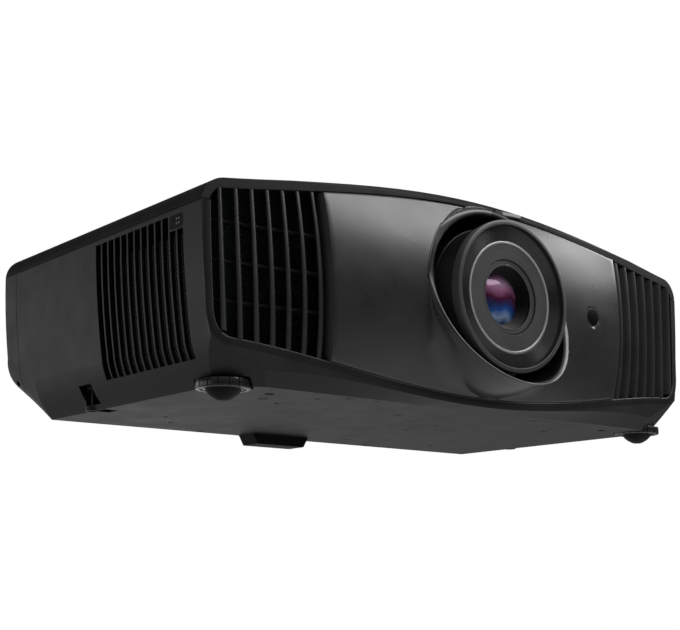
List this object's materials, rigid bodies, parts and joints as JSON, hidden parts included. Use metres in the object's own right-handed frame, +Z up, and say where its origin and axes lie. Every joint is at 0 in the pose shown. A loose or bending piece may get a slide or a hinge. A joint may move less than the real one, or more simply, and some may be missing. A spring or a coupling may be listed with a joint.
{
  "type": "home cinema projector",
  "caption": "Wide black home cinema projector with a crowned case, bulged gunmetal front panel, cowled zoom lens, bladed grilles, side vents and screw feet.",
  "frame": {"origin": "under the middle of the case, on the surface that the three feet stand on", "axes": "+X to the viewer's right of the front, -Y out of the lens, +Z up"},
  "size_m": [0.493, 0.3446, 0.1667],
  "materials": {
    "case_plastic": "fine-grained matt black moulding",
    "fascia_paint": "satin gunmetal paint on a smooth moulding",
    "grille_plastic": "satin dark grey moulding",
    "screen_mesh": "black perforated mesh",
    "dark_window": "infrared-pass gloss window",
    "rubber_black": "matt moulded rubber",
    "foot_plastic": "semi-gloss notched wheel",
    "brass_insert": "knurled insert",
    "screw_steel": "blackened or ground steel",
    "sheet_steel": "zinc-plated sheet",
    "cast_metal": "cast and machined alloy",
    "lens_black": "matt black, lens housing",
    "lens_ring": "satin grey ring, fine turned grooves",
    "knurled_ring": "diamond-knurled grip",
    "bright_trim": "polished thin ring",
    "coated_glass": "multi-coated optical glass",
    "tunnel_mirror": "coated reflector",
    "circuit_board": "solder-masked board",
    "filter_glass": "dichroic colour segments",
    "motor_black": "glass-filled black moulding",
    "socket_metal": "plated socket shells",
    "key_plastic": "soft-touch keys"
  },
  "bodies": {
    "chassis": {"lower_case": "case_plastic", "top_cover": "case_plastic", "rear_cover": "case_plastic", "front_fascia": "fascia_paint", "left_grille": "grille_plastic", "right_grille": "grille_plastic", "filter_screens": "screen_mesh", "ir_window": "dark_window", "service_panel": "case_plastic", "rear_foot": "rubber_black", "foot_nuts": "brass_insert", "ceiling_inserts": "brass_insert", "case_screws": "screw_steel", "chassis_tray": "sheet_steel", "lens_mount_plate": "cast_metal", "vertical_guide_rods": "screw_steel", "shift_well": "lens_black", "engine_housing": "cast_metal", "light_tunnel": "tunnel_mirror", "imaging_board": "circuit_board", "heat_sink": "cast_metal", "lamp_housing": "sheet_steel", "lamp_reflector": "tunnel_mirror", "color_wheel_motor": "motor_black", "power_supply": "sheet_steel", "main_board": "circuit_board", "io_plate": "sheet_steel", "io_sockets": "socket_metal", "power_inlet": "motor_black", "intake_fan_frame": "motor_black", "exhaust_fan_frame": "motor_black", "keypad_bezel": "key_plastic"},
    "vertical_slide": {"vertical_carriage": "cast_metal", "horizontal_guide_rods": "screw_steel"},
    "lens": {"horizontal_carriage": "cast_metal", "lens_barrel": "lens_black", "name_ring": "lens_ring", "trim_ring": "bright_trim", "rear_lens": "coated_glass"},
    "focus": {"front_ring": "lens_ring", "focus_ring": "knurled_ring"},
    "zoom": {"zoom_ring": "knurled_ring"},
    "focus_group": {"focus_cell": "lens_black", "front_lens": "coated_glass"},
    "zoom_group": {"zoom_cell": "lens_black", "zoom_lens": "coated_glass"},
    "vertical_knob": {"vertical_shift_knob": "lens_black"},
    "horizontal_knob": {"horizontal_shift_knob": "lens_black"},
    "door": {"lens_door": "case_plastic"},
    "left_foot": {"left_foot_pad": "rubber_black"},
    "left_foot_screw": {"left_foot_wheel": "foot_plastic"},
    "right_foot": {"right_foot_pad": "rubber_black"},
    "right_foot_screw": {"right_foot_wheel": "foot_plastic"},
    "power_key": {"power_button": "key_plastic"},
    "menu_key": {"menu_button": "key_plastic"},
    "arrow_key": {"arrow_pad": "key_plastic"},
    "ok_key": {"ok_button": "key_plastic"},
    "filter_wheel": {"color_wheel": "filter_glass"},
    "intake_rotor": {"intake_fan_rotor": "motor_black"},
    "exhaust_rotor": {"exhaust_fan_rotor": "motor_black"}
  },
  "joints": [
    {"name": "vertical_shift", "type": "slide", "parent": "chassis", "child": "vertical_slide", "axis": [0, 0, 1], "range_m": [-0.006, 0.006]},
    {"name": "horizontal_shift", "type": "slide", "parent": "vertical_slide", "child": "lens", "axis": [1, 0, 0], "range_m": [-0.004, 0.004]},
    {"name": "vertical_knob_turn", "type": "hinge", "parent": "chassis", "child": "vertical_knob", "pos_m": [-0.028, -0.071, 0.148], "axis": [0, 0, 1], "range_deg": [-360, 360]},
    {"name": "horizontal_knob_turn", "type": "hinge", "parent": "chassis", "child": "horizontal_knob", "pos_m": [0.028, -0.071, 0.148], "axis": [0, 0, 1], "range_deg": [-360, 360]},
    {"name": "focus_turn", "type": "hinge", "parent": "lens", "child": "focus", "pos_m": [0, -0.14, 0.0885], "axis": [0, -1, 0], "range_deg": [-60, 60]},
    {"name": "focus_travel", "type": "slide", "parent": "lens", "child": "focus_group", "axis": [0, -1, 0], "range_m": [-0.0015, 0.0015]},
    {"name": "zoom_turn", "type": "hinge", "parent": "lens", "child": "zoom", "pos_m": [0, -0.115, 0.0885], "axis": [0, -1, 0], "range_deg": [0, 75]},
    {"name": "zoom_travel", "type": "slide", "parent": "lens", "child": "zoom_group", "axis": [0, 1, 0], "range_m": [0, 0.012]},
    {"name": "lens_door_slide", "type": "slide", "parent": "chassis", "child": "door", "axis": [0, 1, 0], "range_m": [0, 0.07]},
    {"name": "left_foot_travel", "type": "slide", "parent": "chassis", "child": "left_foot", "axis": [0, 0, -1], "range_m": [0, 0.012]},
    {"name": "left_foot_turn", "type": "hinge", "parent": "left_foot", "child": "left_foot_screw", "pos_m": [-0.2128, -0.095, 0.0108], "axis": [0, 0, -1], "range_deg": [0, 2880]},
    {"name": "right_foot_travel", "type": "slide", "parent": "chassis", "child": "right_foot", "axis": [0, 0, -1], "range_m": [0, 0.012]},
    {"name": "right_foot_turn", "type": "hinge", "parent": "right_foot", "child": "right_foot_screw", "pos_m": [0.2128, -0.095, 0.0108], "axis": [0, 0, -1], "range_deg": [0, 2880]},
    {"name": "power_press", "type": "slide", "parent": "chassis", "child": "power_key", "axis": [-1, 0, 0], "range_m": [0, 0.0008], "stiffness_N_per_m": 800, "springref_m": -0.0008},
    {"name": "menu_press", "type": "slide", "parent": "chassis", "child": "menu_key", "axis": [-1, 0, 0], "range_m": [0, 0.0008], "stiffness_N_per_m": 800, "springref_m": -0.0008},
    {"name": "arrow_press", "type": "slide", "parent": "chassis", "child": "arrow_key", "axis": [-1, 0, 0], "range_m": [0, 0.0008], "stiffness_N_per_m": 800, "springref_m": -0.0008},
    {"name": "ok_press", "type": "slide", "parent": "chassis", "child": "ok_key", "axis": [-1, 0, 0], "range_m": [0, 0.0008], "stiffness_N_per_m": 800, "springref_m": -0.0008},
    {"name": "filter_wheel_spin", "type": "hinge", "parent": "chassis", "child": "filter_wheel", "pos_m": [0.0976, 0.07, 0.112], "axis": [1, 0, 0], "continuous": true},
    {"name": "intake_fan_spin", "type": "hinge", "parent": "chassis", "child": "intake_rotor", "pos_m": [-0.211, -0.036, 0.0685], "axis": [1, 0, 0], "continuous": true},
    {"name": "exhaust_fan_spin", "type": "hinge", "parent": "chassis", "child": "exhaust_rotor", "pos_m": [0.211, -0.036, 0.0685], "axis": [1, 0, 0], "continuous": true}
  ],
  "couplings": [
    {"joint": "vertical_knob_turn", "follows": "vertical_shift", "rad_per_m": 1047.1},
    {"joint": "horizontal_knob_turn", "follows": "horizontal_shift", "rad_per_m": 1570.6},
    {"joint": "focus_travel", "follows": "focus_turn", "m_per_rad": 0.001432},
    {"joint": "zoom_travel", "follows": "zoom_turn", "m_per_rad": 0.009166},
    {"joint": "left_foot_turn", "follows": "left_foot_travel", "rad_per_m": 4188.4},
    {"joint": "right_foot_turn", "follows": "right_foot_travel", "rad_per_m": 4188.4}
  ]
}
